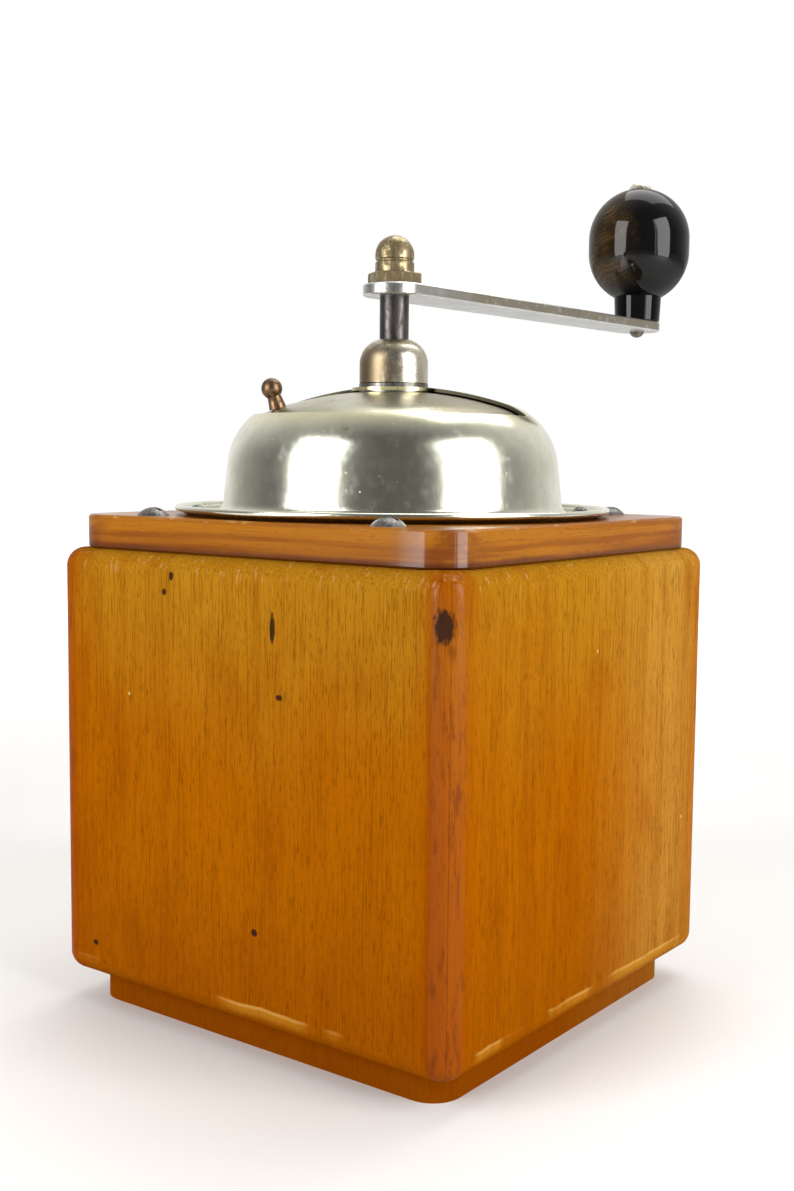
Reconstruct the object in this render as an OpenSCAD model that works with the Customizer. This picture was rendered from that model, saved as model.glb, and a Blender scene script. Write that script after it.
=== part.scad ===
// Hand coffee grinder: wooden case with a drawer, domed hopper with a turning lid, top crank.
// Millimetres, +Z up, origin under the crank shaft on the standing face, drawer towards -Y.

/* [Case] */
// Width of the case, left to right
case_w = 130; // [126:1:140]
// Depth of the case, drawer face to back
case_d = 127; // [124:1:138]
// Height of the case walls
case_h = 116.5; // [114:0.5:126]
// Thickness of the wall boards
wall_t = 14; // [13.5:0.5:15]
// Rounding of the upright corners of the case
corner_r = 6; // [3:0.5:8]
// Rounding of the top and bottom edges of the case
edge_r = 5; // [2:0.5:7]
// Height of the plinth below the case
plinth_h = 8; // [6:0.5:12]
// How far the plinth stands in from the case
plinth_inset = 6.7; // [5:0.1:7]
// Thickness of the top board
board_t = 8.9; // [8:0.1:11]
// How far the top board stands in from the case
board_inset = 3; // [1:0.5:3]
// Corner radius of the top board
board_corner_r = 10; // [5:0.5:12]
// Corner radius of the plinth
plinth_corner_r = 8; // [5:0.5:12]

/* [Drawer] */
// Height of the drawer opening
drawer_h = 56; // [46:1:57]
// How far the drawer opening stands in from the inner faces of the side walls
drawer_step = 1; // [0.5:0.5:8]
// Thickness of the drawer front
drawer_front_t = 13; // [10:0.5:13]
// Thickness of the drawer sides and back
drawer_side_t = 6; // [4:0.5:8]
// Thickness of the drawer bottom
drawer_bottom_t = 4; // [3:0.5:6]
// How far the drawer sides stop below the top of the front
drawer_side_drop = 4; // [2:0.5:8]
// Largest radius of the drawer knob
drawer_knob_r = 9; // [7:0.5:11]

/* [Hopper] */
// Radius of the hopper flange
flange_r = 59.5; // [58:0.25:59.5]
// Widest radius of the rounded shoulder
shoulder_edge_r = 45.4; // [44.5:0.1:46.5]
// Radius of the shoulder rounding
shoulder_r = 18.8; // [17:0.2:20]
// Height of the shoulder centre above the board
shoulder_z = 12.4; // [11:0.2:15]
// Slope of the crown where it meets the shoulder
crown_tilt = 17.4; // [16:0.2:18]
// Taper of the wall below the shoulder
wall_taper = 6.2; // [2:0.2:7]
// Sheet thickness of the hopper
sheet_t = 0.9; // [0.8:0.05:1.2]
// Space between the hopper sheet and the lid below it
lid_gap = 0.5; // [0.4:0.1:1.5]
// Thickness of the lid
lid_t = 0.8; // [0.6:0.05:1.2]
// Radius of the filling opening
opening_r = 38.4; // [37:0.2:40]
// Direction of the right-hand end of the filling opening
opening_turn = 14; // [0:1:20]
// Direction of the lid knob
lid_knob_turn = 58; // [40:1:80]

/* [Crank] */
// Diameter of the drive shaft
shaft_d = 8; // [7.6:0.1:8.4]
// Shaft to knob, centre to centre
crank_l = 130; // [105:1:145]
// Direction of the crank arm at rest
crank_turn = 267.4; // [225:0.1:315]
// Thickness of the crank arm
arm_t = 3.1; // [2.8:0.1:4.5]
// Height of the underside of the arm above the board
arm_z = 59.5; // [54:0.5:64]
// Radius of the arm round the shaft
arm_hub_r = 8.6; // [8:0.1:10]
// Radius of the arm round the knob
arm_end_r = 7.6; // [7:0.1:8.5]
// Width of the ball of the wooden knob
knob_d = 33.8; // [30:0.2:38]
// Height of that ball before its top is cut flat and its foot runs into the neck
knob_ball_h = 38.2; // [35:0.2:42]
// Height of the neck below the ball
knob_neck_h = 8.5; // [6:0.1:12]
// Radius of that neck
knob_neck_r = 7.9; // [7:0.1:8.4]

/* [Mill] */
// Depth of the mill body below the top of the board
mill_drop = 35.4; // [34:0.2:37]
// Outer radius of the burr ring
ring_r = 26; // [25.5:0.1:26.4]
// Grooves cut in the burr ring
ring_grooves = 24; // [18:1:30]
// Fine grooves cut round the foot of the burr cone
cone_grooves = 24; // [18:1:30]
// Coarse flutes cut in the upper burr cone
cone_flutes = 6; // [4:1:8]

/* [Fits] */
// Gap on the radius between a turned piece and its bore
fit = 0.05; // [0.03:0.01:0.08]
// Gap round a sliding wooden piece
slide_gap = 0.3; // [0.2:0.05:0.5]

/* [Hidden] */
$fn = 96;
// Overrun of a cut past the face that it leaves
over = 1;

// Heights of the main faces
case_top = plinth_h + case_h;
board_top = case_top + board_t;

// Case screws: the board screws go into the front and back walls, the plinth screws into the sides
board_screw_x = 39;
board_screw_in = 10.5;
board_screw_y = case_d / 2 - board_screw_in;
board_head_r = 4.3;
board_head_h = 2.2;
wood_screw_r = 2;
wood_screw_l = 24;
base_screw_in = 10.7;
base_screw_x = case_w / 2 - base_screw_in;
base_screw_y = 40;
base_head_r = 3.2;
base_shank_r = 1.6;
base_screw_l = 20;

// Hopper: the crown is an arc that meets the shoulder arc without a kink
shoulder_c = shoulder_edge_r - shoulder_r;
crown_r = shoulder_r + shoulder_c / sin(crown_tilt);
crown_z = shoulder_z - shoulder_c / tan(crown_tilt);
wall_foot_r = shoulder_c + shoulder_r / cos(wall_taper) + shoulder_z * tan(wall_taper);
foot_fillet = 3;
boss_r = 10;
boss_z = crown_z + sqrt(pow(crown_r, 2) - pow(boss_r, 2));
opening_hub_r = 11.5;
bead_r = 0.85;
bead_z = 1.85;
rim_rise_w = 2.7;
flange_screw_in = 6;
flange_screw_at = flange_r - flange_screw_in;
flange_head_r = 2.4;
flange_head_h = 1.6;
flange_shank_r = 1.2;
flange_shank_l = 7;

// Lid: a second sheet of the same form, below the first
lid_top = sheet_t + lid_gap;
lid_lap = 1.5;
lid_r = opening_r + lid_lap;
lid_overlap = 4;
lid_knob_at = 33;
lid_knob_ball_r = 2.8;
lid_knob_stem_r = 1.5;
lid_knob_foot_r = 2.3;
lid_knob_h = 5.4;
lid_rivet_t = 0.6;
lid_rivet_gap = 0.45;

// Upper bearing: bush, washer and bell collar
shaft_r = shaft_d / 2;
bush_wall = 2;
bush_r = shaft_r + bush_wall;
bush_flange_w = 3;
bush_flange_r = bush_r + bush_flange_w;
bush_flange_t = 2;
bush_flange_z = crown_z + sqrt(pow(crown_r - lid_top - lid_t, 2) - pow(bush_flange_r, 2)) - fit;
washer_r = 9.5;
washer_t = 0.95;
bell_r = 9.4;
bell_round = 7;
bell_z = boss_z + washer_t;
bell_h = 12.4;
bush_in_bell = 6;
bush_top = bell_z + bush_in_bell;

// Mill body, burrs and lower bearing, as depths below the top of the board
burr_top = -14;
burr_bottom = -mill_drop;
mill_flange_gap = 2.4;
mill_flange_r = wall_foot_r - sheet_t - mill_flange_gap;
mill_flange_t = 3;
mill_bore_r = 36;
mill_wall = 5;
mill_foot_r = ring_r + mill_wall;
throat_r = 21.5;
funnel_r = 37;
mill_screw_at = 40.8;
mill_screw_r = 1.8;
mill_screw_l = 5;
mill_screw_head_r = 3.2;
mill_screw_head_h = mill_screw_head_r - mill_screw_r;
ring_top_r = 20;
ring_bottom_r = 24;
ring_screw_in = 2.4;
ring_screw_at = mill_foot_r - ring_screw_in;
ring_screw_r = 1.5;
ring_screw_l = 8;
ring_head_r = 3.2;
ring_head_h = 2;
groove_w = 1.6;
ring_groove_depth = 1.2;
ring_groove_skew = 8;
cone_lift = 0.5;
cone_z = burr_bottom + cone_lift;
cone_h = 22;
cone_mid_h = 7.5;
cone_bottom_r = 23.3;
cone_mid_r = 21.3;
cone_top_r = 8;
cone_groove_depth = 1;
cone_groove_skew = 12;
flute_w = 4;
flute_depth = 2;
flute_skew = 20;
pin_r = 1.5;
pin_h = 4.5;
bridge_w = 20;
bridge_t = 3;
flat_depth = 0.5;
bridge_leg_in = mill_foot_r - flat_depth;
bridge_leg_out = bridge_leg_in + bridge_t;
bridge_drop = 12;
bridge_z = burr_bottom - bridge_drop;
bridge_leg_h = 24;
bridge_screw_rise = 6;
bridge_screw_z = burr_bottom + bridge_screw_rise;
flat_h = bridge_leg_h + bridge_z - burr_bottom + fit;
bridge_screw_r = 2;
bridge_screw_grip = 4;
bridge_screw_l = bridge_t + bridge_screw_grip;
bridge_head_r = 3.6;
bridge_head_h = 2.2;
bearing_r = 9;
bearing_spigot_r = 7;
bearing_gap = 1.5;
bearing_top = burr_bottom - bearing_gap;
bearing_drop = 8;
bearing_bottom = bridge_z - bearing_drop;
ball_r = shaft_r - fit;
ball_rise = 2;
ball_z = bridge_z + ball_rise;
contact_gap = 0.02;
adjust_top = ball_z - ball_r - contact_gap;
wheel_r = 11;
wheel_t = 5;
wheel_notches = 24;
wheel_notch_r = 1;
wheel_notch_depth = 0.6;
wheel_drop = 8;
wheel_z = bearing_bottom - wheel_drop;

// Crank
shaft_bottom = ball_z + ball_r + contact_gap;
arm_edge_in = 0.02;
square_share = 1.4;
square_w = square_share * shaft_r;
thread_r = square_w / 2 - fit;
nut_flats = 12.8;
nut_hex_h = 3.2;
nut_r = 5.3;
nut_h = 13.3;
nut_bore_h = 9;
nut_groove_h = 6.4;
nut_groove_r = 0.6;
nut_groove_depth = 0.35;
knob_r = knob_d / 2;
knob_neck_taper = 0.4;
knob_neck_foot_r = knob_neck_r - knob_neck_taper;
knob_end_z = knob_ball_h / 2 - knob_r;
knob_ball_z = knob_neck_h + sqrt(pow(knob_r, 2) - pow(knob_neck_r, 2)) + knob_end_z;
knob_lift = 0.2;
knob_pin_r = 2.5;
knob_head_r = 4;
knob_head_h = 2.8;
knob_pin_foot = 2;
knob_top = knob_ball_z + knob_end_z + sqrt(pow(knob_r, 2) - pow(knob_head_r, 2));

// Drawer
drawer_w = case_w - 2 * (wall_t + drawer_step);
drawer_front_z = plinth_h + slide_gap;
drawer_top = plinth_h + drawer_h - slide_gap;
drawer_y = -case_d / 2 + drawer_front_t;
drawer_back_y = case_d / 2 - wall_t - slide_gap;
drawer_out_x = drawer_w / 2 - slide_gap;
drawer_in_x = drawer_out_x - drawer_side_t;
drawer_side_h = drawer_top - drawer_side_drop - drawer_front_z;
drawer_knob_z = plinth_h + drawer_h / 2;
drawer_knob_l = 22;
drawer_knob_neck_r = 4.5;
drawer_knob_foot_r = 6.3;
drawer_knob_foot_h = 3;
drawer_screw_r = 1.8;
drawer_screw_in = 9;
drawer_screw_l = drawer_front_t + drawer_screw_in;
drawer_screw_head_r = 3.6;
drawer_screw_head_h = 2;

// Colours
beech = [0.72, 0.50, 0.28];
dark_beech = [0.60, 0.36, 0.18];
pale_wood = [0.80, 0.66, 0.45];
black_wood = [0.10, 0.07, 0.06];
nickel = [0.78, 0.77, 0.72];
dull_steel = [0.50, 0.50, 0.50];
dark_steel = [0.25, 0.25, 0.26];
iron = [0.30, 0.30, 0.32];
brass = [0.72, 0.58, 0.30];

// Shared shapes

module round_rect(w, d, r) {
    square([w - 2 * r, d], center = true);
    square([w, d - 2 * r], center = true);
    for (x = [-1, 1], y = [-1, 1])
        translate([x * (w / 2 - r), y * (d / 2 - r)]) circle(r);
}

// Section of an upright corner of the case, from the middle of its rounding out to the face
module corner_section() {
    intersection() {
        translate([corner_r - case_w / 2, 0]) round_rect(case_w, case_h, edge_r);
        translate([0, -case_h / 2]) square([corner_r, case_h]);
    }
}

// The whole case as one block, its edge rounding carried round the rounded corners
module case_block() {
    flat_w = case_w - 2 * corner_r;
    flat_d = case_d - 2 * corner_r;
    translate([0, 0, plinth_h + case_h / 2]) {
        rotate([90, 0, 0]) linear_extrude(flat_d, center = true) round_rect(case_w, case_h, edge_r);
        rotate([90, 0, 90]) linear_extrude(flat_w, center = true) round_rect(case_d, case_h, edge_r);
        for (turn = [0 : 90 : 270])
            translate([sign(cos(turn + 45)) * flat_w / 2, sign(sin(turn + 45)) * flat_d / 2, 0])
                rotate(turn) rotate_extrude(angle = 90) corner_section();
    }
}

// Plan of one wall with mitred ends: w along the wall, d out to its face
module wall_plan(w, d) {
    polygon([
        [-w / 2, d / 2],
        [w / 2, d / 2],
        [w / 2 - wall_t, d / 2 - wall_t],
        [wall_t - w / 2, d / 2 - wall_t]
    ]);
}

module at_board_screws() {
    for (x = [-1, 1], y = [-1, 1])
        translate([x * board_screw_x, y * board_screw_y, board_top]) children();
}

module at_base_screws() {
    for (x = [-1, 1], y = [-1, 1])
        translate([x * base_screw_x, y * base_screw_y, 0]) children();
}

module board_screw_holes() {
    at_board_screws()
        translate([0, 0, -wood_screw_l - fit])
            cylinder(r = wood_screw_r + fit, h = wood_screw_l + over);
}

module base_screw_holes() {
    at_base_screws() {
        translate([0, 0, -over]) cylinder(r = base_shank_r + fit, h = base_screw_l + over + fit);
        translate([0, 0, -fit])
            cylinder(r1 = base_head_r + 2 * fit, r2 = base_shank_r + fit, h = base_head_r - base_shank_r);
    }
}

// Domed head standing on z = 0
module round_head(head_r, head_h) {
    ball_r = (pow(head_r, 2) + pow(head_h, 2)) / (2 * head_h);
    intersection() {
        translate([0, 0, head_h - ball_r]) sphere(ball_r);
        cylinder(r = head_r, h = head_h + over);
    }
}

// Slotted domed head on a plain shank, head seated at z = 0
module round_screw(head_r, head_h, shank_r, shank_l) {
    slot_w = head_r / 4;
    slot_floor = 0.6 * head_h;
    difference() {
        union() {
            round_head(head_r, head_h);
            translate([0, 0, -shank_l]) cylinder(r = shank_r, h = shank_l + head_h / 2);
        }
        translate([-head_r, -slot_w / 2, slot_floor]) cube([2 * head_r, slot_w, head_h]);
    }
}

// Section of the hopper form, set in from its outer face, down to the height low
module hopper_section(set_in, low) {
    wall_r = shoulder_r - set_in;
    wall_x = shoulder_c + wall_r * cos(wall_taper);
    wall_y = shoulder_z + wall_r * sin(wall_taper);
    crown_x = shoulder_c + wall_r * sin(crown_tilt);
    crown_y = shoulder_z + wall_r * cos(crown_tilt);
    intersection() {
        translate([0, crown_z]) circle(crown_r - set_in);
        polygon([
            [0, shoulder_z],
            [shoulder_c, shoulder_z],
            [crown_x, crown_y],
            [crown_x, crown_r],
            [0, crown_r]
        ]);
    }
    translate([shoulder_c, shoulder_z]) circle(wall_r);
    polygon([
        [0, low],
        [wall_x + (wall_y - low) * tan(wall_taper), low],
        [wall_x, wall_y],
        [shoulder_c, shoulder_z],
        [0, shoulder_z]
    ]);
}

// Section of a sheet of the hopper form between two depths and two radii
module sheet_section(outer, inner, from_r, to_r) {
    intersection() {
        difference() {
            hopper_section(outer, shoulder_z - over);
            hopper_section(inner, shoulder_z - 2 * over);
        }
        translate([from_r, shoulder_z]) square([to_r - from_r, crown_r]);
    }
}

// Case

module side_wall_right() {
    color(beech) difference() {
        intersection() {
            case_block();
            rotate(-90) linear_extrude(board_top) wall_plan(case_d, case_w);
        }
        base_screw_holes();
    }
}

module side_wall_left() {
    color(beech) mirror([1, 0, 0]) side_wall_right();
}

module back_wall() {
    color(beech) difference() {
        intersection() {
            case_block();
            linear_extrude(board_top) wall_plan(case_w, case_d);
        }
        board_screw_holes();
    }
}

module front_wall() {
    color(beech) difference() {
        mirror([0, 1, 0]) back_wall();
        translate([-drawer_w / 2, -case_d, 0]) cube([drawer_w, case_d, plinth_h + drawer_h]);
    }
}

module top_board() {
    color(dark_beech) difference() {
        translate([0, 0, case_top])
            linear_extrude(board_t)
                round_rect(case_w - 2 * board_inset, case_d - 2 * board_inset, board_corner_r);
        translate([0, 0, case_top - over]) cylinder(r = mill_bore_r + slide_gap, h = board_t + 2 * over);
        board_screw_holes();
        at_flange_screws() translate([0, 0, -flange_shank_l - fit])
            cylinder(r = flange_shank_r + fit, h = flange_shank_l + over);
        at_mill_screws() translate([0, 0, -mill_screw_l - fit])
            cylinder(r = mill_screw_r + fit, h = mill_screw_l + over);
    }
}

module base_plinth() {
    color(dark_beech) difference() {
        linear_extrude(plinth_h)
            round_rect(case_w - 2 * plinth_inset, case_d - 2 * plinth_inset, plinth_corner_r);
        base_screw_holes();
    }
}

module board_screws() {
    color(dark_steel) at_board_screws()
        round_screw(board_head_r, board_head_h, wood_screw_r, wood_screw_l);
}

module base_screws() {
    color(dark_steel) at_base_screws() {
        cylinder(r = base_shank_r, h = base_screw_l);
        cylinder(r1 = base_head_r, r2 = base_shank_r, h = base_head_r - base_shank_r);
    }
}

// Hopper

module at_flange_screws() {
    for (turn = [45:90:315])
        rotate(turn) translate([flange_screw_at, 0, board_top]) children();
}

// Flat flange with a fillet up to the wall and a raised, beaded rim
module flange_section() {
    fillet_z = sheet_t + foot_fillet;
    fillet_x = wall_foot_r - fillet_z * tan(wall_taper) + foot_fillet / cos(wall_taper);
    wall_x = wall_foot_r - sheet_t / cos(wall_taper);
    rim_x = flange_r - bead_r;
    difference() {
        polygon([
            [wall_x, 0],
            [fillet_x, 0],
            [fillet_x, fillet_z],
            [fillet_x - foot_fillet * cos(wall_taper), fillet_z - foot_fillet * sin(wall_taper)],
            [wall_x, fillet_z / 2]
        ]);
        translate([fillet_x, fillet_z]) circle(foot_fillet);
    }
    polygon([
        [fillet_x, 0],
        [rim_x - rim_rise_w + sheet_t / 3, 0],
        [rim_x, bead_z - sheet_t / 2],
        [rim_x, bead_z + sheet_t / 2],
        [rim_x - rim_rise_w, sheet_t],
        [fillet_x, sheet_t]
    ]);
    translate([rim_x, bead_z]) circle(bead_r);
}

module hopper_dome() {
    color(nickel) translate([0, 0, board_top]) difference() {
        union() {
            rotate_extrude() intersection() {
                difference() {
                    hopper_section(0, 0);
                    hopper_section(sheet_t, -over);
                }
                translate([bush_r + fit, 0]) square([flange_r, boss_z]);
            }
            rotate_extrude() flange_section();
        }
        rotate(opening_turn)
            rotate_extrude(angle = 180)
                translate([opening_hub_r, shoulder_z]) square([opening_r - opening_hub_r, crown_r]);
        at_flange_screws() translate([0, 0, -board_top - over])
            cylinder(r = flange_shank_r + fit, h = sheet_t + 2 * over);
    }
}

module flange_screws() {
    color(dark_steel) at_flange_screws() translate([0, 0, sheet_t])
        round_screw(flange_head_r, flange_head_h, flange_shank_r, flange_shank_l + sheet_t);
}

module collar_washer() {
    color(dull_steel) translate([0, 0, board_top + boss_z]) difference() {
        cylinder(r = washer_r, h = washer_t);
        translate([0, 0, -over]) cylinder(r = bush_r + fit, h = washer_t + 2 * over);
    }
}

module bell_collar() {
    color(nickel) translate([0, 0, board_top + bell_z]) rotate_extrude() difference() {
        union() {
            square([bell_r, bell_h - bell_round]);
            intersection() {
                translate([bell_r - bell_round, bell_h - bell_round]) circle(bell_round);
                square([bell_r, bell_h]);
            }
        }
        square([shaft_r + fit, bell_h + over]);
        square([bush_r + fit, bush_top - bell_z + fit]);
    }
}

module upper_bush() {
    color(brass) translate([0, 0, board_top]) difference() {
        union() {
            translate([0, 0, bush_flange_z - bush_flange_t]) cylinder(r = bush_flange_r, h = bush_flange_t);
            translate([0, 0, bush_flange_z - over])
                cylinder(r = bush_r, h = bush_top - bush_flange_z + over);
        }
        cylinder(r = shaft_r + fit, h = crown_r);
    }
}

module lid_washer() {
    color(dull_steel) translate([0, 0, board_top])
        rotate_extrude() sheet_section(sheet_t + fit, lid_top - fit, bush_r + fit, washer_r);
}

// A full ring round the bush, and the sheet only on the side that the lid covers
module hopper_lid() {
    color(nickel) translate([0, 0, board_top]) difference() {
        rotate_extrude() sheet_section(lid_top, lid_top + lid_t, bush_r + fit, lid_r);
        rotate(opening_turn + 180 + lid_overlap)
            rotate_extrude(angle = 180 - 2 * lid_overlap)
                translate([opening_hub_r, shoulder_z]) square([lid_r, crown_r]);
        at_lid_knob() cylinder(r = lid_knob_stem_r + fit, h = 4 * lid_t, center = true);
    }
}

// Places a piece on the lid, square to its surface
module at_lid_knob() {
    lean = asin(lid_knob_at / (crown_r - lid_top));
    rotate(lid_knob_turn)
        translate([0, 0, crown_z])
            rotate([0, lean, 0])
                translate([0, 0, crown_r - lid_top]) children();
}

// Tapered stem with a ball on top and a riveted end below the lid
module lid_knob() {
    rivet_z = -lid_t - lid_rivet_t - lid_rivet_gap;
    color(brass) translate([0, 0, board_top]) at_lid_knob() rotate_extrude() {
        translate([0, rivet_z]) square([lid_knob_foot_r, lid_rivet_t]);
        translate([0, rivet_z]) square([lid_knob_stem_r, lid_knob_h]);
        polygon([[0, fit], [lid_knob_foot_r, fit], [lid_knob_stem_r, lid_knob_h], [0, lid_knob_h]]);
        intersection() {
            translate([0, lid_knob_h]) circle(lid_knob_ball_r);
            square(2 * lid_knob_h);
        }
    }
}

// Mill

module at_mill_screws() {
    for (turn = [0:90:270])
        rotate(turn) translate([mill_screw_at, 0, board_top]) children();
}

module at_ring_screws() {
    for (turn = [90, 210, 330])
        rotate(turn) translate([ring_screw_at, 0, board_top + burr_bottom]) children();
}

// Runs out along X from the mill, once to each side
module at_bridge_screws() {
    for (turn = [0, 180])
        rotate(turn)
            translate([bridge_leg_out, 0, board_top + bridge_screw_z])
                rotate([0, 90, 0]) children();
}

module mill_body() {
    color(iron) difference() {
        translate([0, 0, board_top]) rotate_extrude() polygon([
            [mill_flange_r, 0],
            [mill_flange_r, mill_flange_t],
            [funnel_r, mill_flange_t],
            [throat_r, burr_top + 2],
            [throat_r, burr_top],
            [ring_r + fit, burr_top],
            [ring_r + fit, burr_bottom],
            [mill_foot_r, burr_bottom],
            [mill_foot_r, burr_top - 3],
            [mill_bore_r, -board_t],
            [mill_bore_r, 0]
        ]);
        for (side = [-1, 1])
            translate([side * (bridge_leg_in + bridge_t / 2), 0, board_top + burr_bottom])
                cube([bridge_t, 2 * mill_foot_r, 2 * flat_h], center = true);
        at_mill_screws() translate([0, 0, -over])
            cylinder(r = mill_screw_r + fit, h = mill_flange_t + 2 * over);
        at_mill_screws() translate([0, 0, mill_flange_t - mill_screw_head_h])
            cylinder(r1 = mill_screw_r + fit, r2 = mill_screw_head_r + fit + over,
                     h = mill_screw_head_h + over);
        at_ring_screws() translate([0, 0, -over])
            cylinder(r = ring_screw_r + fit, h = ring_screw_l + over + fit);
        at_bridge_screws() translate([0, 0, -bridge_screw_l - fit])
            cylinder(r = bridge_screw_r + fit, h = bridge_screw_l);
    }
}

module mill_screws() {
    color(dark_steel) at_mill_screws() {
        translate([0, 0, -mill_screw_l]) cylinder(r = mill_screw_r, h = mill_screw_l + mill_flange_t);
        translate([0, 0, mill_flange_t - mill_screw_head_h])
            cylinder(r1 = mill_screw_r, r2 = mill_screw_head_r, h = mill_screw_head_h);
    }
}

// Straight cutters laid round a cone, from its foot radius to its top radius
module cone_cutters(count, foot_r, top_r, h, width, depth, skew) {
    lean = atan((foot_r - top_r) / h);
    long = sqrt(pow(h, 2) + pow(foot_r - top_r, 2));
    for (i = [0:count - 1])
        rotate(i * 360 / count)
            translate([(foot_r + top_r) / 2, 0, h / 2])
                rotate([0, -lean, 0])
                    rotate([skew, 0, 0])
                        cube([2 * depth, width, long + 4 * over], center = true);
}

module burr_ring() {
    color(dull_steel) translate([0, 0, board_top + burr_bottom]) difference() {
        rotate_extrude() polygon([
            [ring_bottom_r, 0],
            [ring_r, 0],
            [ring_r, mill_drop + burr_top],
            [ring_top_r, mill_drop + burr_top]
        ]);
        cone_cutters(ring_grooves, ring_bottom_r, ring_top_r, mill_drop + burr_top,
            groove_w, ring_groove_depth, ring_groove_skew);
    }
}

module ring_screws() {
    color(dark_steel) at_ring_screws() mirror([0, 0, 1])
        round_screw(ring_head_r, ring_head_h, ring_screw_r, ring_screw_l);
}

module lower_bridge() {
    color(dull_steel) difference() {
        translate([0, 0, board_top + bridge_z]) rotate([90, 0, 0])
            linear_extrude(bridge_w, center = true) polygon([
                [-bridge_leg_out, -bridge_t],
                [bridge_leg_out, -bridge_t],
                [bridge_leg_out, bridge_leg_h],
                [bridge_leg_in, bridge_leg_h],
                [bridge_leg_in, 0],
                [-bridge_leg_in, 0],
                [-bridge_leg_in, bridge_leg_h],
                [-bridge_leg_out, bridge_leg_h]
            ]);
        translate([0, 0, board_top + bridge_z - bridge_t - over])
            cylinder(r = bearing_spigot_r + fit, h = bridge_t + 2 * over);
        at_bridge_screws() translate([0, 0, -bridge_t - over])
            cylinder(r = bridge_screw_r + fit, h = bridge_t + 2 * over);
    }
}

module bridge_screws() {
    color(dark_steel) at_bridge_screws() 
        round_screw(bridge_head_r, bridge_head_h, bridge_screw_r, bridge_screw_l);
}

module lower_bearing() {
    color(brass) translate([0, 0, board_top]) difference() {
        union() {
            translate([0, 0, bridge_z]) cylinder(r = bearing_r, h = bearing_top - bridge_z);
            translate([0, 0, bearing_bottom])
                cylinder(r = bearing_spigot_r, h = bridge_z - bearing_bottom + over);
        }
        translate([0, 0, bearing_bottom - over])
            cylinder(r = shaft_r + fit, h = bearing_top - bearing_bottom + 2 * over);
    }
}

module thrust_ball() {
    color(dull_steel) translate([0, 0, board_top + ball_z]) sphere(ball_r);
}

module adjust_screw() {
    color(dull_steel) translate([0, 0, board_top + wheel_z])
        cylinder(r = shaft_r, h = adjust_top - wheel_z);
}

module adjust_wheel() {
    color(brass) translate([0, 0, board_top + wheel_z]) difference() {
        cylinder(r = wheel_r, h = wheel_t);
        translate([0, 0, -over]) cylinder(r = shaft_r + fit, h = wheel_t + 2 * over);
        for (i = [0:wheel_notches - 1])
            rotate(i * 360 / wheel_notches)
                translate([wheel_r + wheel_notch_r - wheel_notch_depth, 0, -over])
                    cylinder(r = wheel_notch_r, h = wheel_t + 2 * over);
    }
}

module burr_cone() {
    color(dull_steel) translate([0, 0, board_top + cone_z]) difference() {
        rotate_extrude() polygon([
            [shaft_r + fit, 0],
            [cone_bottom_r, 0],
            [cone_mid_r, cone_mid_h],
            [cone_top_r, cone_h],
            [shaft_r + fit, cone_h]
        ]);
        cone_cutters(cone_grooves, cone_bottom_r, cone_mid_r, cone_mid_h,
            groove_w, cone_groove_depth, cone_groove_skew);
        translate([0, 0, cone_mid_h])
            cone_cutters(cone_flutes, cone_mid_r, cone_top_r, cone_h - cone_mid_h,
                flute_w, flute_depth, flute_skew);
        rotate([0, 90, 0]) translate([-pin_h, 0, 0])
            cylinder(r = pin_r + fit, h = 3 * cone_bottom_r, center = true);
    }
}

module burr_pin() {
    color(dark_steel) translate([0, 0, board_top + cone_z + pin_h]) rotate([0, 90, 0])
        cylinder(r = pin_r, h = 2 * (cone_mid_r - 2), center = true);
}

// Crank

module on_arm() {
    translate([0, 0, board_top + arm_z]) rotate(crank_turn) children();
}

module at_knob() {
    on_arm() translate([crank_l, 0, arm_t]) children();
}

module drive_shaft() {
    color(dark_steel) difference() {
        union() {
            translate([0, 0, board_top + shaft_bottom]) cylinder(r = shaft_r, h = arm_z - shaft_bottom);
            on_arm() linear_extrude(2 * arm_t, center = true) square(square_w, center = true);
            on_arm() cylinder(r = thread_r, h = arm_t + nut_bore_h - fit);
        }
        translate([0, 0, board_top + cone_z + pin_h]) rotate([0, 90, 0])
            cylinder(r = pin_r + fit, h = 2 * shaft_d, center = true);
    }
}

// Two round ends joined by straight edges that cut just inside the rounds
module arm_plan() {
    circle(arm_hub_r);
    translate([crank_l, 0]) circle(arm_end_r);
    polygon([
        [0, arm_hub_r - arm_edge_in],
        [0, arm_edge_in - arm_hub_r],
        [crank_l, arm_edge_in - arm_end_r],
        [crank_l, arm_end_r - arm_edge_in]
    ]);
}

module crank_arm() {
    color(nickel) on_arm() linear_extrude(arm_t) difference() {
        arm_plan();
        square(square_w + 2 * fit, center = true);
        translate([crank_l, 0]) circle(knob_pin_r + fit);
    }
}

module cap_nut() {
    color(brass) on_arm() translate([0, 0, arm_t]) difference() {
        union() {
            cylinder(d = nut_flats / cos(30), h = nut_hex_h, $fn = 6);
            rotate_extrude() difference() {
                union() {
                    square([nut_r, nut_h - nut_r]);
                    intersection() {
                        translate([0, nut_h - nut_r]) circle(nut_r);
                        square(nut_h);
                    }
                }
                translate([nut_r + nut_groove_r - nut_groove_depth, nut_groove_h]) circle(nut_groove_r);
            }
        }
        translate([0, 0, -over]) cylinder(r = thread_r + fit, h = nut_bore_h + over);
    }
}

module knob_pin() {
    color(nickel) at_knob() {
        translate([0, 0, -arm_t]) cylinder(r = knob_pin_r, h = arm_t + knob_top + knob_head_h / 2);
        translate([0, 0, -arm_t]) rotate([180, 0, 0]) round_head(knob_pin_r, knob_pin_foot);
        translate([0, 0, knob_top + fit]) round_head(knob_head_r, knob_head_h);
    }
}

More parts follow.
